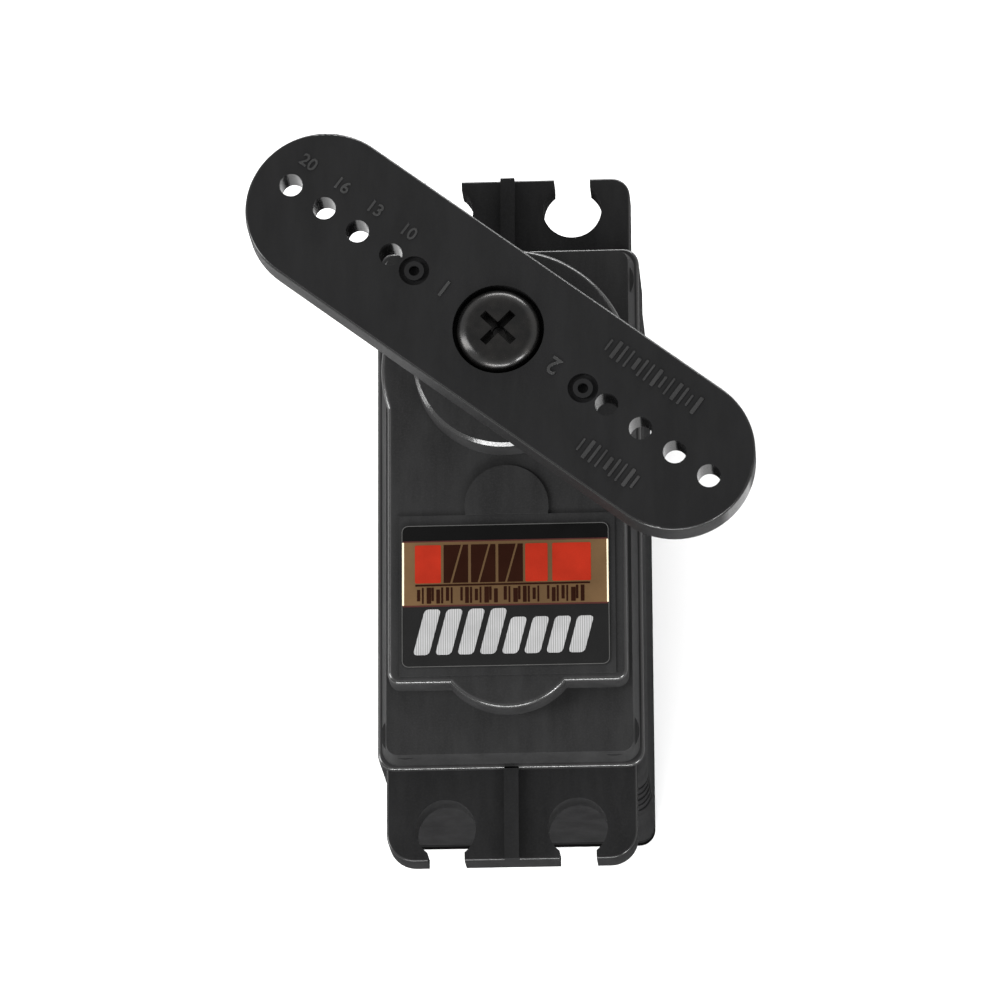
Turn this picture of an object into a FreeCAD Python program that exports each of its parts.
import FreeCAD, Part
import math
import os
import Sketcher
from fcgear import fcgear, involute
from FreeCAD import Placement, Rotation, Vector

# Standard-size hobby servo motor. Millimetres, +Z up along the output shaft.
# Origin: base of the case, straight under the output axis. +Y points at the
# output end of the case, X runs across its width.

os.makedirs("parts", exist_ok=True)
doc = FreeCAD.newDocument("hobby_servo")

# ---------------------------------------------------------------- dimensions
DIMS = [
    # case outline: half widths, near (output) end and far end
    ("lower_half", 10.0), ("lower_near", 10.6), ("lower_far", -30.35),
    ("mid_half", 10.15), ("mid_near", 10.75), ("mid_far", -30.5),
    ("upper_half", 9.8), ("upper_near", 10.4), ("upper_far", -30.15),
    ("wall", 1.3), ("corner_radius", 1.3), ("upper_corner", 1.3),
    # heights
    ("floor_top", 1.6), ("seam_low", 21.3), ("plate_low", 22.3), ("plate_top", 23.8),
    ("ear_low", 26.2), ("seam_high", 28.9), ("shelf_top", 31.0), ("plateau_top", 33.3),
    ("boss_top", 35.9), ("ceiling_low", 30.0), ("ceiling_high", 32.3),
    # features of the top
    ("boss_radius", 6.95), ("round_end_radius", 9.6), ("plateau_half", 9.1),
    ("plateau_far", -24.75), ("lobe_radius", 5.75), ("disc_radius", 3.2),
    ("disc_rise", 0.25), ("pad_half", 8.2), ("pad_near", -11.65), ("pad_far", -24.2),
    ("pad_rise", 0.12), ("shelf_lean", 0.45), ("shelf_drop", 1.6), ("rim_rise", 0.4),
    # mounting ears
    ("ear_half", 9.5), ("ear_near", 16.6), ("ear_far", -37.5), ("hole_x", 5.0),
    ("hole_near", 14.1), ("hole_far", -35.05), ("ear_hole_radius", 2.28),
    ("slot_half", 1.4), ("rib_half", 0.55), ("rib_rise", 0.6),
    ("near_ear_corner", 1.4), ("far_ear_corner", 2.1),
    # case screws
    ("screw_x", 7.9), ("screw_near", 7.75), ("screw_far", -28.05), ("column_radius", 1.9),
    ("thread_radius", 1.0), ("thread_hole", 1.03), ("clear_hole", 1.15),
    ("screw_head", 1.75), ("screw_head_hole", 1.85), ("screw_seat", 1.5), ("screw_end", 29.9),
    # gear axes along the case
    ("idler_y", -11.0), ("motor_y", -21.0),
    # bearings
    ("upper_bearing_low", 32.3), ("upper_bearing_high", 35.3), ("upper_bearing_outer", 5.0),
    ("lower_bearing_low", 21.5), ("lower_bearing_high", 24.0), ("lower_bearing_outer", 4.0),
    # output shaft
    ("shaft_upper_radius", 3.0), ("shaft_lower_radius", 2.5), ("spline_low", 36.2),
    ("spline_high", 40.2), ("spline_radius", 2.95), ("spline_root", 2.72),
    # horn
    ("horn_low", 40.65), ("horn_top", 43.3), ("horn_half_width", 6.05), ("cap_offset", 16.35),
    ("horn_angle", 37.0), ("hub_radius", 4.7), ("hub_low", 36.5), ("link_hole_radius", 0.88),
    ("link_first", 10.1), ("link_pitch", 3.15), ("recess_radius", 3.45), ("recess_floor", 42.0),
    # motor
    ("motor_radius", 7.25), ("motor_low", 6.4), ("motor_shaft_radius", 0.75),
    # board and sensor
    ("board_low", 3.4), ("board_high", 4.4), ("pot_low", 13.4), ("pot_high", 19.4),
    # label
    ("label_left", -8.0), ("label_right", 7.75), ("label_near", -12.45), ("label_far", -23.55),
    ("label_thickness", 0.12),
]
sheet = doc.addObject("Spreadsheet::Sheet", "dims")
for row, (alias, number) in enumerate(DIMS, start=1):
    sheet.set("A%d" % row, alias)
    sheet.set("B%d" % row, str(number))
    sheet.setAlias("B%d" % row, alias)
doc.recompute()
DIM = dict(DIMS)

PARTS = []


def bind(text):
    """A size written with aliases, or a number, as an expression on the sheet."""
    words = str(text).replace("(", " ( ").replace(")", " ) ").split()
    return " ".join("dims." + word if word in DIM else word for word in words)


def keep(thing, name):
    thing.Label = name
    PARTS.append((name, thing))
    return thing


# ------------------------------------------------------- PartDesign helpers
def new_body(name):
    return keep(doc.addObject("PartDesign::Body", "body_" + name), name)


def new_sketch(body, name, height):
    base = [item for item in body.Origin.OriginFeatures if item.Role == "XY_Plane"][0]
    sketch = body.newObject("Sketcher::SketchObject", name)
    sketch.AttachmentSupport = [(base, "")]
    sketch.MapMode = "FlatFace"
    sketch.setExpression(".AttachmentOffset.Base.z", bind(height))
    return sketch


def hold(sketch, kind, geometry, point, size):
    """Distance of a point from the sketch origin along X or Y."""
    if size == "0":
        axis = -2 if kind == "DistanceX" else -1
        sketch.addConstraint(Sketcher.Constraint("PointOnObject", geometry, point, axis))
        return
    where = sketch.getPoint(geometry, point)
    now = where.x if kind == "DistanceX" else where.y
    index = sketch.addConstraint(Sketcher.Constraint(kind, -1, 1, geometry, point, now))
    sketch.setExpression("Constraints[%d]" % index, bind(size))


def rectangle(sketch, x_low, x_high, y_low, y_high):
    corners = [Vector(-2, -2, 0), Vector(3, -2, 0), Vector(3, 4, 0), Vector(-2, 4, 0)]
    first = sketch.GeometryCount
    for side in range(4):
        sketch.addGeometry(Part.LineSegment(corners[side], corners[(side + 1) % 4]), False)
    for side in range(4):
        here, after = first + side, first + (side + 1) % 4
        sketch.addConstraint(Sketcher.Constraint("Coincident", here, 2, after, 1))
        direction = "Horizontal" if side % 2 == 0 else "Vertical"
        sketch.addConstraint(Sketcher.Constraint(direction, here))
    hold(sketch, "DistanceX", first, 1, x_low)
    hold(sketch, "DistanceY", first, 1, y_low)
    hold(sketch, "DistanceX", first + 2, 1, x_high)
    hold(sketch, "DistanceY", first + 2, 1, y_high)


def disc(sketch, x_centre, y_centre, radius):
    geometry = sketch.addGeometry(Part.Circle(Vector(2, 3, 0), Vector(0, 0, 1), 1.0), False)
    hold(sketch, "DistanceX", geometry, 3, x_centre)
    hold(sketch, "DistanceY", geometry, 3, y_centre)
    index = sketch.addConstraint(Sketcher.Constraint("Radius", geometry, 1.0))
    sketch.setExpression("Constraints[%d]" % index, bind(radius))


def draw(sketch, shapes):
    for shape in shapes:
        if len(shape) == 4:
            rectangle(sketch, *shape)
        else:
            disc(sketch, *shape)


def pad(body, name, low, high, *shapes):
    sketch = new_sketch(body, name + "_sketch", low)
    draw(sketch, shapes)
    feature = body.newObject("PartDesign::Pad", name)
    feature.Profile = sketch
    feature.setExpression("Length", bind("( %s ) - ( %s )" % (high, low)))
    doc.recompute()
    return feature


def pocket(body, name, low, high, *shapes):
    before = body.Shape.Volume
    sketch = new_sketch(body, name + "_sketch", high)
    draw(sketch, shapes)
    feature = body.newObject("PartDesign::Pocket", name)
    feature.Profile = sketch
    feature.setExpression("Length", bind("( %s ) - ( %s )" % (high, low)))
    doc.recompute()
    assert body.Shape.Volume < before - 1e-4, name + " removed nothing"
    return feature


def edges_where(feature, test):
    names = []
    for number, edge in enumerate(feature.Shape.Edges, start=1):
        if test(edge.BoundBox):
            names.append("Edge%d" % number)
    return names


def dress(body, kind, name, size, test):
    base = body.Tip
    names = edges_where(base, test)
    assert names, name + " found no edges"
    feature = body.newObject("PartDesign::" + kind, name)
    feature.Base = (base, names)
    feature.setExpression("Radius" if kind == "Fillet" else "Size", bind(size))
    doc.recompute()
    assert "Invalid" not in feature.State, name + " failed"
    return feature


def upright(box):
    return box.XLength < 1e-4 and box.YLength < 1e-4


def flat_at(box, height):
    return abs(box.ZMin - height) < 1e-4 and abs(box.ZMax - height) < 1e-4


# ------------------------------------------------------- primitive helpers
def cylinder(name, x_centre, y_centre, low, high, radius):
    thing = doc.addObject("Part::Cylinder", name)
    thing.setExpression("Radius", bind(radius))
    thing.setExpression("Height", bind("( %s ) - ( %s )" % (high, low)))
    thing.setExpression(".Placement.Base.x", bind(x_centre))
    thing.setExpression(".Placement.Base.y", bind(y_centre))
    thing.setExpression(".Placement.Base.z", bind(low))
    return thing


def block(name, x_low, x_high, y_low, y_high, low, high):
    thing = doc.addObject("Part::Box", name)
    thing.setExpression("Length", bind("( %s ) - ( %s )" % (x_high, x_low)))
    thing.setExpression("Width", bind("( %s ) - ( %s )" % (y_high, y_low)))
    thing.setExpression("Height", bind("( %s ) - ( %s )" % (high, low)))
    thing.setExpression(".Placement.Base.x", bind(x_low))
    thing.setExpression(".Placement.Base.y", bind(y_low))
    thing.setExpression(".Placement.Base.z", bind(low))
    return thing


def fuse(name, things):
    result = doc.addObject("Part::MultiFuse", name)
    result.Shapes = things
    return result


def cut(name, base, tool):
    result = doc.addObject("Part::Cut", name)
    result.Base = base
    result.Tool = tool
    return result


def ring(name, x_centre, y_centre, low, high, outer, inner):
    hole_low = "( %s ) - 1" % low
    hole_high = "( %s ) + 1" % high
    outside = cylinder(name + "_outside", x_centre, y_centre, low, high, outer)
    inside = cylinder(name + "_inside", x_centre, y_centre, hole_low, hole_high, inner)
    return cut(name, outside, inside)


def feature_shape(name, shape):
    thing = doc.addObject("Part::Feature", "shape_" + name)
    thing.Shape = shape
    return thing


# ------------------------------------------------------------- case pieces
SCREW_SPOTS = [
    ("screw_x", "screw_near"), ("- screw_x", "screw_near"),
    ("screw_x", "screw_far"), ("- screw_x", "screw_far"),
]


def discs_at_screws(radius):
    return [(x_spot, y_spot, radius) for x_spot, y_spot in SCREW_SPOTS]


def inset(half, near, far, gap):
    return ("- ( %s ) + %s" % (half, gap), "%s - %s" % (half, gap),
            "%s + %s" % (far, gap), "%s - %s" % (near, gap))


def lean_in(body, name, inward, downward, height):
    """A steep lean on the walls under a level edge loop: inward at the top."""
    feature = dress(body, "Chamfer", name, inward, lambda box: flat_at(box, height))
    feature.ChamferType = "Two distances"
    feature.setExpression("Size", bind(downward))
    feature.setExpression("Size2", bind(inward))
    doc.recompute()
    if top_width(body, height) < 2 * (DIM["upper_half"] - DIM[inward]) - 0.01:
        feature.FlipDirection = True
        doc.recompute()
    assert abs(top_width(body, height) - 2 * (DIM["upper_half"] - DIM[inward])) < 0.01
    return feature


def top_width(body, height):
    return max(face.BoundBox.XLength for face in body.Shape.Faces
               if flat_at(face.BoundBox, height))


def foot_rim(body):
    """The narrow rounded ledge round the foot of the upper case."""
    pad(body, "foot_rim", "seam_high", "seam_high + rim_rise",
        inset("mid_half", "mid_near", "mid_far", "0"))
    dress(body, "Fillet", "rim_corners", "corner_radius",
          lambda box: upright(box) and abs(abs(box.XMax) - DIM["mid_half"]) < 1e-3)
    dress(body, "Fillet", "rim_edge", "0.3",
          lambda box: flat_at(box, DIM["seam_high"] + DIM["rim_rise"])
          and (abs(box.XMax) > DIM["upper_half"] + 0.05 or abs(box.XMin) > DIM["upper_half"] + 0.05
               or box.YMax > DIM["upper_near"] + 0.05 or box.YMin < DIM["upper_far"] - 0.05))


def build_upper_case():
    body = new_body("upper_case")
    pad(body, "upper_shell", "seam_high", "shelf_top",
        inset("upper_half", "upper_near", "upper_far", "0"))
    dress(body, "Fillet", "upper_corners", "upper_corner", upright)
    lean_in(body, "shelf_edge", "shelf_lean", "shelf_drop", DIM["shelf_top"])
    foot_rim(body)
    pad(body, "plateau_round", "shelf_top - 1", "plateau_top", ("0", "0", "round_end_radius"))
    pad(body, "plateau_straight", "shelf_top - 0.5", "plateau_top",
        ("- plateau_half", "plateau_half", "plateau_far", "- 1"))
    dress(body, "Fillet", "plateau_corners", "0.9",
          lambda box: upright(box) and box.YMax < DIM["plateau_far"] + 0.1 and box.ZMax > 33)
    pad(body, "plateau_lobe", "shelf_top - 0.5", "plateau_top", ("0", "motor_y", "lobe_radius"))
    dress(body, "Fillet", "plateau_edge", "0.4",
          lambda box: flat_at(box, DIM["plateau_top"]))
    pad(body, "output_boss", "plateau_top - 0.5", "boss_top", ("0", "0", "boss_radius"))
    dress(body, "Chamfer", "boss_edge", "0.25", lambda box: flat_at(box, DIM["boss_top"]))
    pad(body, "small_disc", "plateau_top - 0.5", "plateau_top + disc_rise",
        ("0", "idler_y", "disc_radius"))
    pocket(body, "disc_cut", "plateau_top", "plateau_top + 1",
           ("- 5", "5", "- 20", "pad_near"))
    pad(body, "label_pad", "plateau_top - 0.5", "plateau_top + pad_rise",
        ("- pad_half", "pad_half", "pad_far", "pad_near"))
    # room for the gears, the bearing seat and the arc that the stop pin runs in
    pocket(body, "gear_room", "seam_high - 1", "ceiling_low",
           inset("upper_half", "upper_near", "upper_far", "1.2"))
    pocket(body, "tall_room", "seam_high - 1", "ceiling_high",
           ("- 7.9", "7.9", "plateau_far + 1", "- 1"))
    pocket(body, "output_room", "seam_high - 1", "ceiling_high", ("0", "0", "8.35"))
    pocket(body, "bearing_seat", "ceiling_high - 1", "upper_bearing_high",
           ("0", "0", "upper_bearing_outer"))
    pocket(body, "shaft_opening", "ceiling_high", "boss_top + 1", ("0", "0", "3.6"))
    pad(body, "upper_columns", "seam_high", "shelf_top - 0.5", *discs_at_screws("column_radius"))
    pocket(body, "upper_threads", "seam_high - 1", "screw_end + 0.3",
           *discs_at_screws("thread_hole"))
    pad(body, "short_pin_boss", "29.75", "ceiling_high + 0.3", ("0", "motor_y", "2"))
    pocket(body, "short_pin_hole", "29", "32.6", ("0", "motor_y", "0.98"))
    pocket(body, "long_pin_hole", "32", "33", ("0", "idler_y", "0.98"))
    stop_arc(body)
    return body


def stop_arc(body):
    """Half-ring groove over the output wheel: the stop pin meets its ends."""
    sketch = new_sketch(body, "stop_arc_sketch", "ceiling_high + 0.8")
    reach = math.radians(90.3 + 5.8)
    inner, outer = 5.3, 6.7
    middle = math.pi / 2
    start, end = middle - reach, middle + reach
    arcs = []
    for radius in (inner, outer):
        circle = Part.Circle(Vector(0, 0, 0), Vector(0, 0, 1), radius)
        arcs.append(Part.ArcOfCircle(circle, start, end))
    sketch.addGeometry(arcs[0], False)
    sketch.addGeometry(arcs[1], False)
    for angle in (start, end):
        turn = Vector(math.cos(angle), math.sin(angle), 0)
        sketch.addGeometry(Part.LineSegment(turn * inner, turn * outer), False)
    feature = body.newObject("PartDesign::Pocket", "stop_arc")
    feature.Profile = sketch
    feature.setExpression("Length", "1.8")
    doc.recompute()


def build_middle_case():
    body = new_body("middle_case")
    pad(body, "middle_shell", "seam_low", "seam_high", inset("mid_half", "mid_near", "mid_far", "0"))
    dress(body, "Fillet", "middle_corners", "corner_radius", upright)
    pad(body, "ear_plate", "ear_low", "seam_high",
        ("- ear_half", "ear_half", "ear_far", "ear_near"))
    dress(body, "Fillet", "near_ear_corners", "near_ear_corner",
          lambda box: upright(box) and abs(box.YMax - DIM["ear_near"]) < 1e-3)
    dress(body, "Fillet", "far_ear_corners", "far_ear_corner",
          lambda box: upright(box) and abs(box.YMax - DIM["ear_far"]) < 1e-3)
    dress(body, "Fillet", "ear_rim", "0.2",
          lambda box: flat_at(box, DIM["seam_high"])
          and (box.YMin > DIM["mid_near"] or box.YMax < DIM["mid_far"]))
    pad(body, "near_rib", "seam_high - 0.5", "seam_high + rib_rise",
        ("- rib_half", "rib_half", "mid_near + 0.02", "ear_near"))
    pad(body, "far_rib", "seam_high - 0.5", "seam_high + rib_rise",
        ("- rib_half", "rib_half", "ear_far", "mid_far - 0.02"))
    holes = []
    slots = []
    for side in ("hole_x", "- hole_x"):
        for row, end in (("hole_near", "ear_near + 1"), ("hole_far", "ear_far - 1")):
            holes.append((side, row, "ear_hole_radius"))
            low, high = (row, end) if row == "hole_near" else (end, row)
            slots.append((side + " - slot_half", side + " + slot_half", low, high))
    pocket(body, "ear_holes", "ear_low - 1", "seam_high + 1", *holes)
    pocket(body, "ear_slots", "ear_low - 1", "seam_high + 1", *slots)
    # gear room above the plate, motor room below it
    pocket(body, "upper_room", "plate_top", "seam_high + 1",
           inset("mid_half", "mid_near", "mid_far", "1.45"))
    pocket(body, "lower_room", "seam_low - 1", "plate_low",
           inset("mid_half", "mid_near", "mid_far", "1.45"))
    pad(body, "middle_columns_high", "plate_top - 0.5", "seam_high",
        *discs_at_screws("column_radius"))
    pad(body, "middle_columns_low", "seam_low", "plate_low + 0.5",
        *discs_at_screws("column_radius"))
    pad(body, "bearing_boss", "21", "24", ("0", "0", "5.2"))
    pad(body, "pin_boss", "21.3", "plate_top + 0.25", ("0", "idler_y", "2.2"))
    pocket(body, "middle_screw_holes", "seam_low - 1", "seam_high + 1",
           *discs_at_screws("clear_hole"))
    pocket(body, "motor_nose_hole", "plate_low - 1", "plate_top + 1", ("0", "motor_y", "3.05"))
    pocket(body, "lower_bearing_seat", "lower_bearing_low", "25",
           ("0", "0", "lower_bearing_outer"))
    pocket(body, "lower_shaft_hole", "20", "lower_bearing_low", ("0", "0", "3.1"))
    pocket(body, "lower_pin_hole", "21.8", "plate_top + 1", ("0", "idler_y", "0.98"))
    return body


def build_lower_case():
    body = new_body("lower_case")
    pad(body, "lower_shell", "0", "seam_low", inset("lower_half", "lower_near", "lower_far", "0"))
    dress(body, "Fillet", "lower_corners", "corner_radius", upright)
    dress(body, "Chamfer", "base_edge", "0.4", lambda box: flat_at(box, 0))
    dress(body, "Chamfer", "top_edge", "0.25", lambda box: flat_at(box, DIM["seam_low"]))
    # five short ribs round each corner of the far end
    for step in range(5):
        low = "12.4 + %s" % (1.75 * step)
        pad(body, "corner_rib_%d" % step, low, low + " + 0.8",
            ("lower_half - corner_radius", "lower_far + corner_radius", "corner_radius + 0.12"),
            ("corner_radius - lower_half", "lower_far + corner_radius", "corner_radius + 0.12"))
    pocket(body, "main_room", "floor_top", "seam_low + 1",
           inset("lower_half", "lower_near", "lower_far", "wall"))
    pad(body, "lower_columns", "floor_top - 0.5", "seam_low", *discs_at_screws("column_radius"))
    pocket(body, "lower_screw_holes", "- 1", "seam_low + 1", *discs_at_screws("clear_hole"))
    pocket(body, "screw_seats", "- 1", "screw_seat", *discs_at_screws("screw_head_hole"))
    # groove that marks the foot of the case
    groove = new_sketch(body, "foot_groove_sketch", "2.0")
    draw(groove, [inset("lower_half", "lower_near", "lower_far", "- 1"),
                  inset("lower_half", "lower_near", "lower_far", "0.3")])
    feature = body.newObject("PartDesign::Pocket", "foot_groove")
    feature.Profile = groove
    feature.setExpression("Length", "0.3")
    doc.recompute()
    pocket(body, "gland_opening", "6.5", "10.5", ("- 3", "3", "lower_near - 2", "lower_near + 1"))
    return body


def build_case_screws():
    things = []
    for index, (x_spot, y_spot) in enumerate(SCREW_SPOTS):
        tag = "case_screw_%d" % index
        shank = cylinder(tag + "_shank", x_spot, y_spot, "screw_seat - 0.5", "screw_end",
                         "thread_radius")
        head = cylinder(tag + "_head", x_spot, y_spot, "0.25", "screw_seat", "screw_head")
        cross = []
        for turn in range(2):
            bar_x, bar_y = (1.1, 0.22) if turn == 0 else (0.22, 1.1)
            cross.append(block(tag + "_cross_%d" % turn,
                               x_spot + " - %s" % bar_x, x_spot + " + %s" % bar_x,
                               y_spot + " - %s" % bar_y, y_spot + " + %s" % bar_y,
                               "- 1", "0.95"))
        solid = fuse(tag + "_solid", [shank, head])
        things.append(cut(tag, solid, fuse(tag + "_drive", cross)))
    group = doc.addObject("Part::Compound", "case_screws")
    group.Links = things
    keep(group, "case_screws")


def build_label():
    body = new_body("label")
    low = "plateau_top + pad_rise"
    pad(body, "label_sheet", low, low + " + label_thickness",
        ("label_left", "label_right", "label_far", "label_near"))
    dress(body, "Fillet", "label_corners", "0.5", upright)


def build_cable_gland():
    flange = block("gland_flange", "- 3.8", "3.8", "lower_near", "lower_near + 0.9", "5.8", "11.2")
    neck = block("gland_neck", "- 2.95", "2.95", "lower_near - 1.3", "lower_near", "6.55", "10.45")
    inner = block("gland_inner", "- 3.6", "3.6", "lower_near - 2.2", "lower_near - 1.3",
                  "6.1", "10.9")
    nose = block("gland_nose", "- 2.7", "2.7", "lower_near + 0.9", "lower_near + 2.4", "7", "10")
    solid = fuse("gland_solid", [flange, neck, inner, nose])
    bores = []
    for index, spot in enumerate(("- 1.3", "0", "1.3")):
        bore = cylinder("gland_bore_%d" % index, spot, "lower_near - 3", "0", "6", "0.62")
        bore.Placement = Placement(Vector(0, 0, 0), Rotation(Vector(1, 0, 0), -90))
        bore.setExpression(".Placement.Base.z", "8.5")
        bore.setExpression(".Placement.Base.x", bind(spot))
        bore.setExpression(".Placement.Base.y", bind("lower_near - 3"))
        bores.append(bore)
    keep(cut("cable_gland_cut", solid, fuse("gland_bores", bores)), "cable_gland")


# -------------------------------------------------------------------- horn
def build_servo_horn():
    body = new_body("servo_horn")
    pad(body, "arm_plate", "horn_low", "horn_top",
        ("- cap_offset", "cap_offset", "- horn_half_width", "horn_half_width"))
    pad(body, "arm_cap_right", "horn_low", "horn_top", ("cap_offset", "0", "horn_half_width"))
    pad(body, "arm_cap_left", "horn_low", "horn_top", ("- cap_offset", "0", "horn_half_width"))
    dress(body, "Fillet", "arm_top_edge", "0.22", lambda box: flat_at(box, DIM["horn_top"]))
    pad(body, "hub", "hub_low", "horn_low + 0.5", ("0", "0", "hub_radius"))
    holes = []
    for step in range(4):
        spot = "link_first + %d * link_pitch" % step
        holes.append((spot, "0", "link_hole_radius"))
        holes.append(("- ( %s )" % spot, "0", "link_hole_radius"))
    pocket(body, "link_holes", "horn_low - 1", "horn_top + 1", *holes)
    pocket(body, "dimples", "horn_top - 0.3", "horn_top + 1",
           ("link_first - 2.2", "0", "1.15"), ("2.2 - link_first", "0", "1.15"))
    pad(body, "dimple_posts", "horn_top - 0.5", "horn_top - 0.02",
        ("link_first - 2.2", "0", "0.75"), ("2.2 - link_first", "0", "0.75"))
    pocket(body, "dimple_cores", "horn_top - 0.5", "horn_top + 1",
           ("link_first - 2.2", "0", "0.4"), ("2.2 - link_first", "0", "0.4"))
    pocket(body, "screw_recess", "recess_floor", "horn_top + 1", ("0", "0", "recess_radius"))
    pocket(body, "screw_hole", "horn_low - 1", "horn_top + 1", ("0", "0", "1.6"))
    socket = new_sketch(body, "spline_socket_sketch", "40.4")
    splined_outline(socket, DIM["spline_radius"] + 0.03, DIM["spline_root"] + 0.03)
    feature = body.newObject("PartDesign::Pocket", "spline_socket")
    feature.Profile = socket
    feature.setExpression("Length", "6")
    doc.recompute()
    body.setExpression(".Placement.Rotation.Angle", "- dims.horn_angle")
    return body


SPLINE_TEETH = 25


def spline_points(tip, root):
    """Corner points of the toothed shaft end, tooth 0 on the +X axis."""
    points = []
    pitch = 2 * math.pi / SPLINE_TEETH
    for tooth in range(SPLINE_TEETH):
        for share, radius in ((-0.36, root), (-0.1, tip), (0.1, tip), (0.36, root)):
            angle = (tooth + share) * pitch
            points.append(Vector(radius * math.cos(angle), radius * math.sin(angle), 0))
    return points


def splined_outline(sketch, tip, root):
    points = spline_points(tip, root)
    lines = []
    for index, point in enumerate(points):
        lines.append(Part.LineSegment(point, points[(index + 1) % len(points)]))
    sketch.addGeometry(lines, False)


def turned(name, profile):
    """A solid of revolution about Z from a closed (radius, height) profile."""
    points = [Vector(radius, 0, height) for radius, height in profile]
    wire = Part.makePolygon(points + [points[0]])
    return Part.Face(wire).revolve(Vector(0, 0, 0), Vector(0, 0, 1), 360)


def build_horn_screw():
    seat = DIM["recess_floor"]
    head = Part.makeCylinder(3.2, 1.75, Vector(0, 0, seat))
    rim = [edge for edge in head.Edges if edge.BoundBox.ZMin > seat + 1.7]
    head = head.makeFillet(1.1, rim)
    shank = Part.makeCylinder(1.25, 7.6, Vector(0, 0, seat - 7.6))
    drive = []
    for turn in (0, 90):
        wedge = Part.makeBox(3.2, 0.62, 3, Vector(-1.6, -0.31, seat + 0.35))
        wedge.rotate(Vector(0, 0, 0), Vector(0, 0, 1), turn + 45 + DIM["horn_angle"])
        drive.append(wedge)
    core = Part.makeCone(0.45, 0.95, 1.4, Vector(0, 0, seat + 0.2))
    solid = head.fuse([shank]).removeSplitter()
    solid = solid.cut(drive[0].fuse([drive[1], core]))
    screw = feature_shape("horn_screw", solid)
    screw.Placement = Placement(Vector(0, 0, 0), Rotation(Vector(0, 0, 1), -DIM["horn_angle"]))
    keep(screw, "horn_screw")


# ------------------------------------------------------------------- gears
def toothed(module, teeth, shift, low, high, y_centre, mesh_angle, on_tooth):
    """Involute spur wheel with a tooth, or a gap, at the mesh angle."""
    builder = fcgear.FCWireBuilder()
    involute.CreateExternalGear(builder, module, teeth, 20.0, split=True, addCoeff=1.0,
                                dedCoeff=1.25, filletCoeff=0.375, shiftCoeff=shift)
    wire = Part.Wire([piece.toShape() for piece in builder.wire])
    solid = Part.Face(wire).extrude(Vector(0, 0, high - low))
    turn = mesh_angle if on_tooth else mesh_angle + 180.0 / teeth
    solid.rotate(Vector(0, 0, 0), Vector(0, 0, 1), turn)
    solid.translate(Vector(0, y_centre, low))
    return solid


def rod(radius, low, high, y_centre=0.0):
    return Part.makeCylinder(radius, high - low, Vector(0, y_centre, low))


def gear_node(name, pieces, bores):
    solid = pieces[0].fuse(pieces[1:]) if len(pieces) > 1 else pieces[0]
    for bore in bores:
        solid = solid.cut(bore)
    return keep(feature_shape(name, solid), name)


def build_gears():
    idler, motor = DIM["idler_y"], DIM["motor_y"]
    # motor pinion 15 drives the first wheel 64 on the long pin
    pinion = toothed(0.25, 15, 0.3, 24.0, 25.5, motor, 90, True)
    gear_node("motor_pinion", [pinion], [rod(DIM["motor_shaft_radius"], 20, 30, motor)])
    first = [toothed(0.25, 64, -0.3, 24.2, 25.2, idler, -90, False),
             toothed(0.3, 16, 0.3, 25.2, 27.6, idler, -90, True)]
    gear_node("first_gear", first, [rod(1.03, 20, 30, idler)])
    # its pinion 16 drives the second wheel 50 on the short pin
    second = [toothed(0.3, 50, -0.3, 26.3, 27.3, motor, 90, False),
              toothed(0.4, 13, 0.45, 27.3, 29.5, motor, 90, True)]
    gear_node("second_gear", second, [rod(1.03, 20, 30, motor)])
    # its pinion 13 drives the third wheel 36, back on the long pin
    third = [toothed(0.4, 36, -0.2, 28.1, 29.3, idler, -90, False),
             toothed(0.5, 13, 0.4, 29.3, 32.1, idler, 90, True)]
    gear_node("third_gear", third, [rod(1.03, 20, 33, idler)])
    # its pinion 13 drives the output wheel 30
    build_output_gear()


def build_output_gear():
    wheel = toothed(0.5, 30, -0.1, 29.6, 31.9, 0.0, -90, False)
    lower_shaft = rod(DIM["shaft_lower_radius"], 21.6, 29.8)
    hub = rod(3.2, 26.2, 32.1)
    upper_shaft = rod(DIM["shaft_upper_radius"], 32.1, DIM["spline_low"])
    outline = Part.makePolygon(spline_points(DIM["spline_radius"], DIM["spline_root"])
                               + [spline_points(DIM["spline_radius"], DIM["spline_root"])[0]])
    spline = Part.Face(outline).extrude(Vector(0, 0, DIM["spline_high"] - DIM["spline_low"]))
    spline.translate(Vector(0, 0, DIM["spline_low"]))
    # at rest the shaft has turned away from its middle position with the horn
    spline.rotate(Vector(0, 0, 0), Vector(0, 0, 1), -DIM["horn_angle"])
    stop = rod(0.6, 31.5, 32.9)
    stop_turn = math.radians(90 - DIM["horn_angle"])
    stop.translate(Vector(6 * math.cos(stop_turn), 6 * math.sin(stop_turn), 0))
    socket = rod(1.45, 20, 24.4)
    thread = rod(1.27, 34.0, 41)
    gear_node("output_gear", [wheel, lower_shaft, hub, upper_shaft, spline, stop],
              [socket, thread])


def build_pins():
    keep(cylinder("idler_pin_long_rod", "0", "idler_y", "21.8", "33", "0.98"), "idler_pin_long")
    shank = cylinder("short_pin_shank", "0", "motor_y", "25.9", "32.6", "0.98")
    flange = cylinder("short_pin_flange", "0", "motor_y", "25.75", "26.15", "1.7")
    keep(fuse("idler_pin_short_rod", [shank, flange]), "idler_pin_short")
    keep(ring("idler_washer_ring", "0", "idler_y", "27.7", "28.0", "1.9", "1.03"), "idler_washer")


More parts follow.
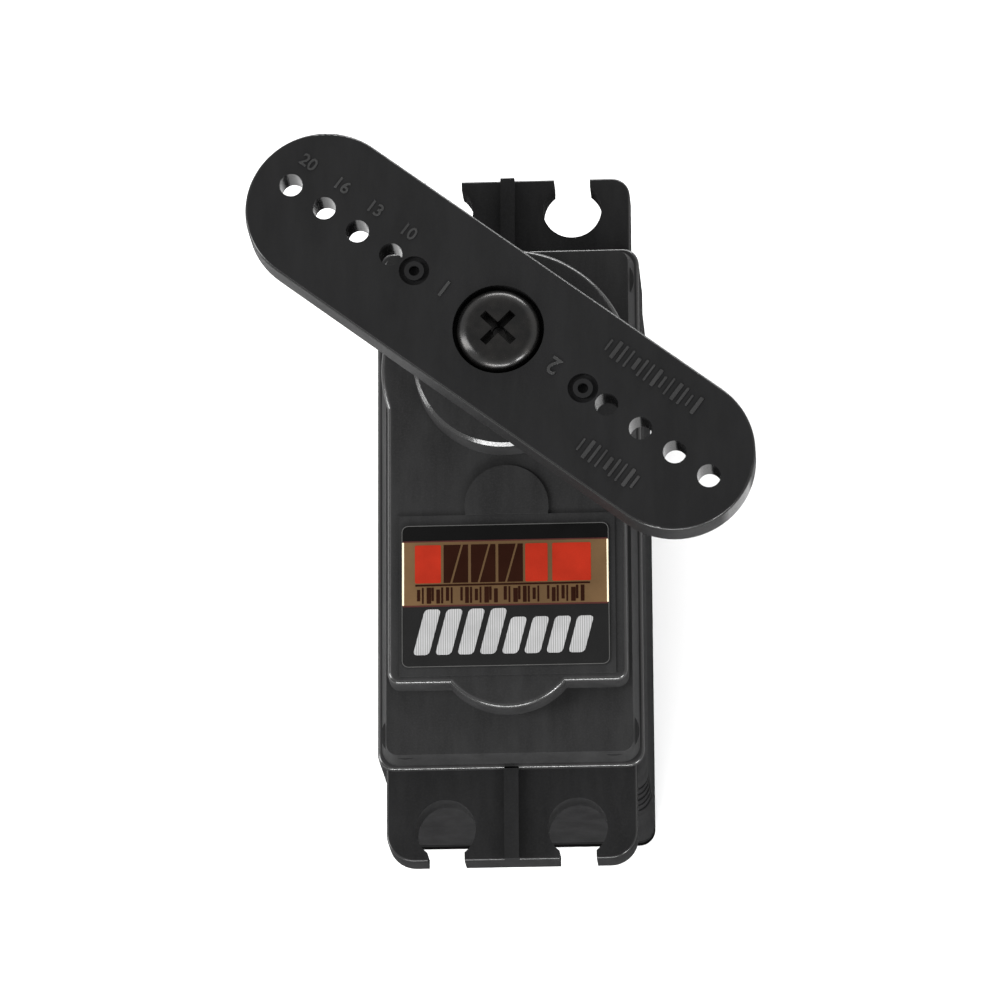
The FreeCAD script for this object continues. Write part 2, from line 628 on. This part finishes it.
# ---------------------------------------------------------------- bearings
def build_bearing(name, low, high, outer, inner, ball_count):
    middle = (low + high) / 2
    track = (outer + inner) / 2
    ball = (outer - inner) * 0.26
    groove = Part.makeTorus(track, ball + 0.02, Vector(0, 0, middle), Vector(0, 0, 1))
    split = (outer - inner) * 0.17
    outside = Part.makeCylinder(outer, high - low, Vector(0, 0, low))
    outside = outside.cut(Part.makeCylinder(track + split, high - low, Vector(0, 0, low)))
    inside = Part.makeCylinder(track - split, high - low, Vector(0, 0, low))
    inside = inside.cut(Part.makeCylinder(inner, high - low, Vector(0, 0, low)))
    keep(feature_shape(name + "_outer_ring", outside.cut(groove)), name + "_outer_ring")
    keep(feature_shape(name + "_inner_ring", inside.cut(groove)), name + "_inner_ring")
    balls = []
    for index in range(ball_count):
        angle = 2 * math.pi * index / ball_count
        centre = Vector(track * math.cos(angle), track * math.sin(angle), middle)
        balls.append(Part.makeSphere(ball, centre))
    keep(feature_shape(name + "_balls", Part.makeCompound(balls)), name + "_balls")


# ------------------------------------------------------------------- motor
def build_motor():
    radius = DIM["motor_radius"]
    low, centre = DIM["motor_low"], DIM["motor_y"]
    top = DIM["plate_low"]
    can = turned("can", [(radius - 0.35, low), (radius, low), (radius, top - 0.4),
                         (radius - 0.4, top), (3.0, top), (3.0, 23.7), (1.4, 23.7),
                         (1.4, top - 1.2), (radius - 0.35, top - 1.2)])
    can.translate(Vector(0, centre, 0))
    keep(feature_shape("motor_can", can), "motor_can")
    keep(ring("motor_bushing_ring", "0", "motor_y", "21.2", "23.6", "1.4", "0.78"),
         "motor_bushing")
    magnet = Part.makeCylinder(4.1, 9.5, Vector(0, centre, 9.6))
    magnet = magnet.cut(rod(1.1, 5, 22, centre))
    keep(feature_shape("motor_magnet", magnet), "motor_magnet")
    cup = turned("cup", [(0.75, 20.0), (5.9, 20.0), (5.9, 9.2), (4.6, 9.2), (4.6, 19.3),
                         (0.75, 19.3)])
    cup.translate(Vector(0, centre, 0))
    keep(feature_shape("rotor_winding", cup), "rotor_winding")
    keep(cylinder("motor_shaft_rod", "0", "motor_y", "8.6", "25.7", "motor_shaft_radius"),
         "motor_shaft")
    cap = turned("cap", [(0.79, low), (radius - 0.4, low), (radius - 0.4, low + 1.6),
                         (4.6, low + 1.6), (4.6, low + 2.0), (3.4, low + 2.0),
                         (3.4, low + 3.2), (0.79, low + 3.2)])
    cap.translate(Vector(0, centre, 0))
    keep(feature_shape("motor_end_cap", cap), "motor_end_cap")
    tabs = []
    for side in (-1, 1):
        tab = Part.makeBox(1.6, 0.4, low - 2.9, Vector(side * 4.4 - 0.8, centre - 0.2, 2.9))
        tabs.append(tab)
    keep(feature_shape("motor_terminals", Part.makeCompound(tabs)), "motor_terminals")


# ---------------------------------------------------- position sensor, board
def build_sensor():
    can = Part.makeBox(9.6, 9.6, DIM["pot_high"] - DIM["pot_low"],
                       Vector(-4.8, -4.8, DIM["pot_low"]))
    upright_edges = [edge for edge in can.Edges if upright(edge.BoundBox)]
    can = can.makeFillet(1.2, upright_edges)
    neck = rod(2.6, DIM["pot_high"] - 0.5, 20.6)
    can = can.fuse(neck).cut(rod(1.48, 17.5, 22))
    keep(feature_shape("potentiometer", can), "potentiometer")
    keep(cylinder("pot_shaft_rod", "0", "0", "17.8", "24.2", "1.43"), "potentiometer_shaft")
    legs = []
    for x_spot in (-2.5, 0, 2.5):
        legs.append(Part.makeBox(0.6, 0.4, DIM["pot_low"] - 2.9, Vector(x_spot - 0.3, 2.8, 2.9)))
    keep(feature_shape("sensor_legs", Part.makeCompound(legs)), "sensor_legs")


def build_board():
    body = new_body("control_board")
    pad(body, "board_sheet", "board_low", "board_high", ("- 8.4", "8.4", "- 28.7", "8.4"))
    pocket(body, "board_corners", "board_low - 1", "board_high + 1",
           *discs_at_screws("column_radius + 0.15"))
    slots = []
    for x_spot in ("- 4.4", "4.4"):
        slots.append((x_spot + " - 0.85", x_spot + " + 0.85", "motor_y - 0.25", "motor_y + 0.25"))
    for x_spot in ("- 2.5", "0", "2.5"):
        slots.append((x_spot + " - 0.35", x_spot + " + 0.35", "2.75", "3.25"))
    pocket(body, "board_slots", "board_low - 1", "board_high + 1", *slots)
    chip = Part.makeBox(5, 5, 0.9, Vector(-2.5, -8.5, DIM["board_high"]))
    keep(feature_shape("control_chip", chip), "control_chip")
    drivers = []
    for x_spot in (-6.6, 3.2):
        drivers.append(Part.makeBox(3.4, 4.2, 1.1, Vector(x_spot, -12.9, DIM["board_high"])))
    keep(feature_shape("motor_drivers", Part.makeCompound(drivers)), "motor_drivers")
    store = Part.makeCylinder(2.0, 5.2, Vector(5.6, -4.2, DIM["board_high"]))
    keep(feature_shape("capacitor", store), "capacitor")
    header = Part.makeBox(5.4, 1.9, 1.6, Vector(-2.7, 5.0, DIM["board_high"]))
    keep(feature_shape("lead_pads", header), "lead_pads")


build_upper_case()
build_middle_case()
build_lower_case()
build_case_screws()
build_label()
build_cable_gland()
build_servo_horn()
build_horn_screw()
build_gears()
build_pins()
build_bearing("upper_bearing", DIM["upper_bearing_low"], DIM["upper_bearing_high"],
              DIM["upper_bearing_outer"], DIM["shaft_upper_radius"], 11)
build_bearing("lower_bearing", DIM["lower_bearing_low"], DIM["lower_bearing_high"],
              DIM["lower_bearing_outer"], DIM["shaft_lower_radius"], 11)
build_motor()
build_sensor()
build_board()
doc.recompute()

# ------------------------------------------------------------ check, write
for thing in doc.Objects:
    states = [word for word in thing.State if word in ("Invalid", "Error")]
    assert not states, "%s is %s" % (thing.Name, states)
for name, thing in PARTS:
    shape = thing.Shape
    assert not shape.isNull() and shape.isValid(), name + " has a bad shape"
    assert shape.Volume > 0, name + " is empty"
    shape.exportStep("parts/%s.step" % name)
    print("%-26s %d solid(s) %10.2f mm3" % (name, len(shape.Solids), shape.Volume))
print(len(PARTS), "nodes")
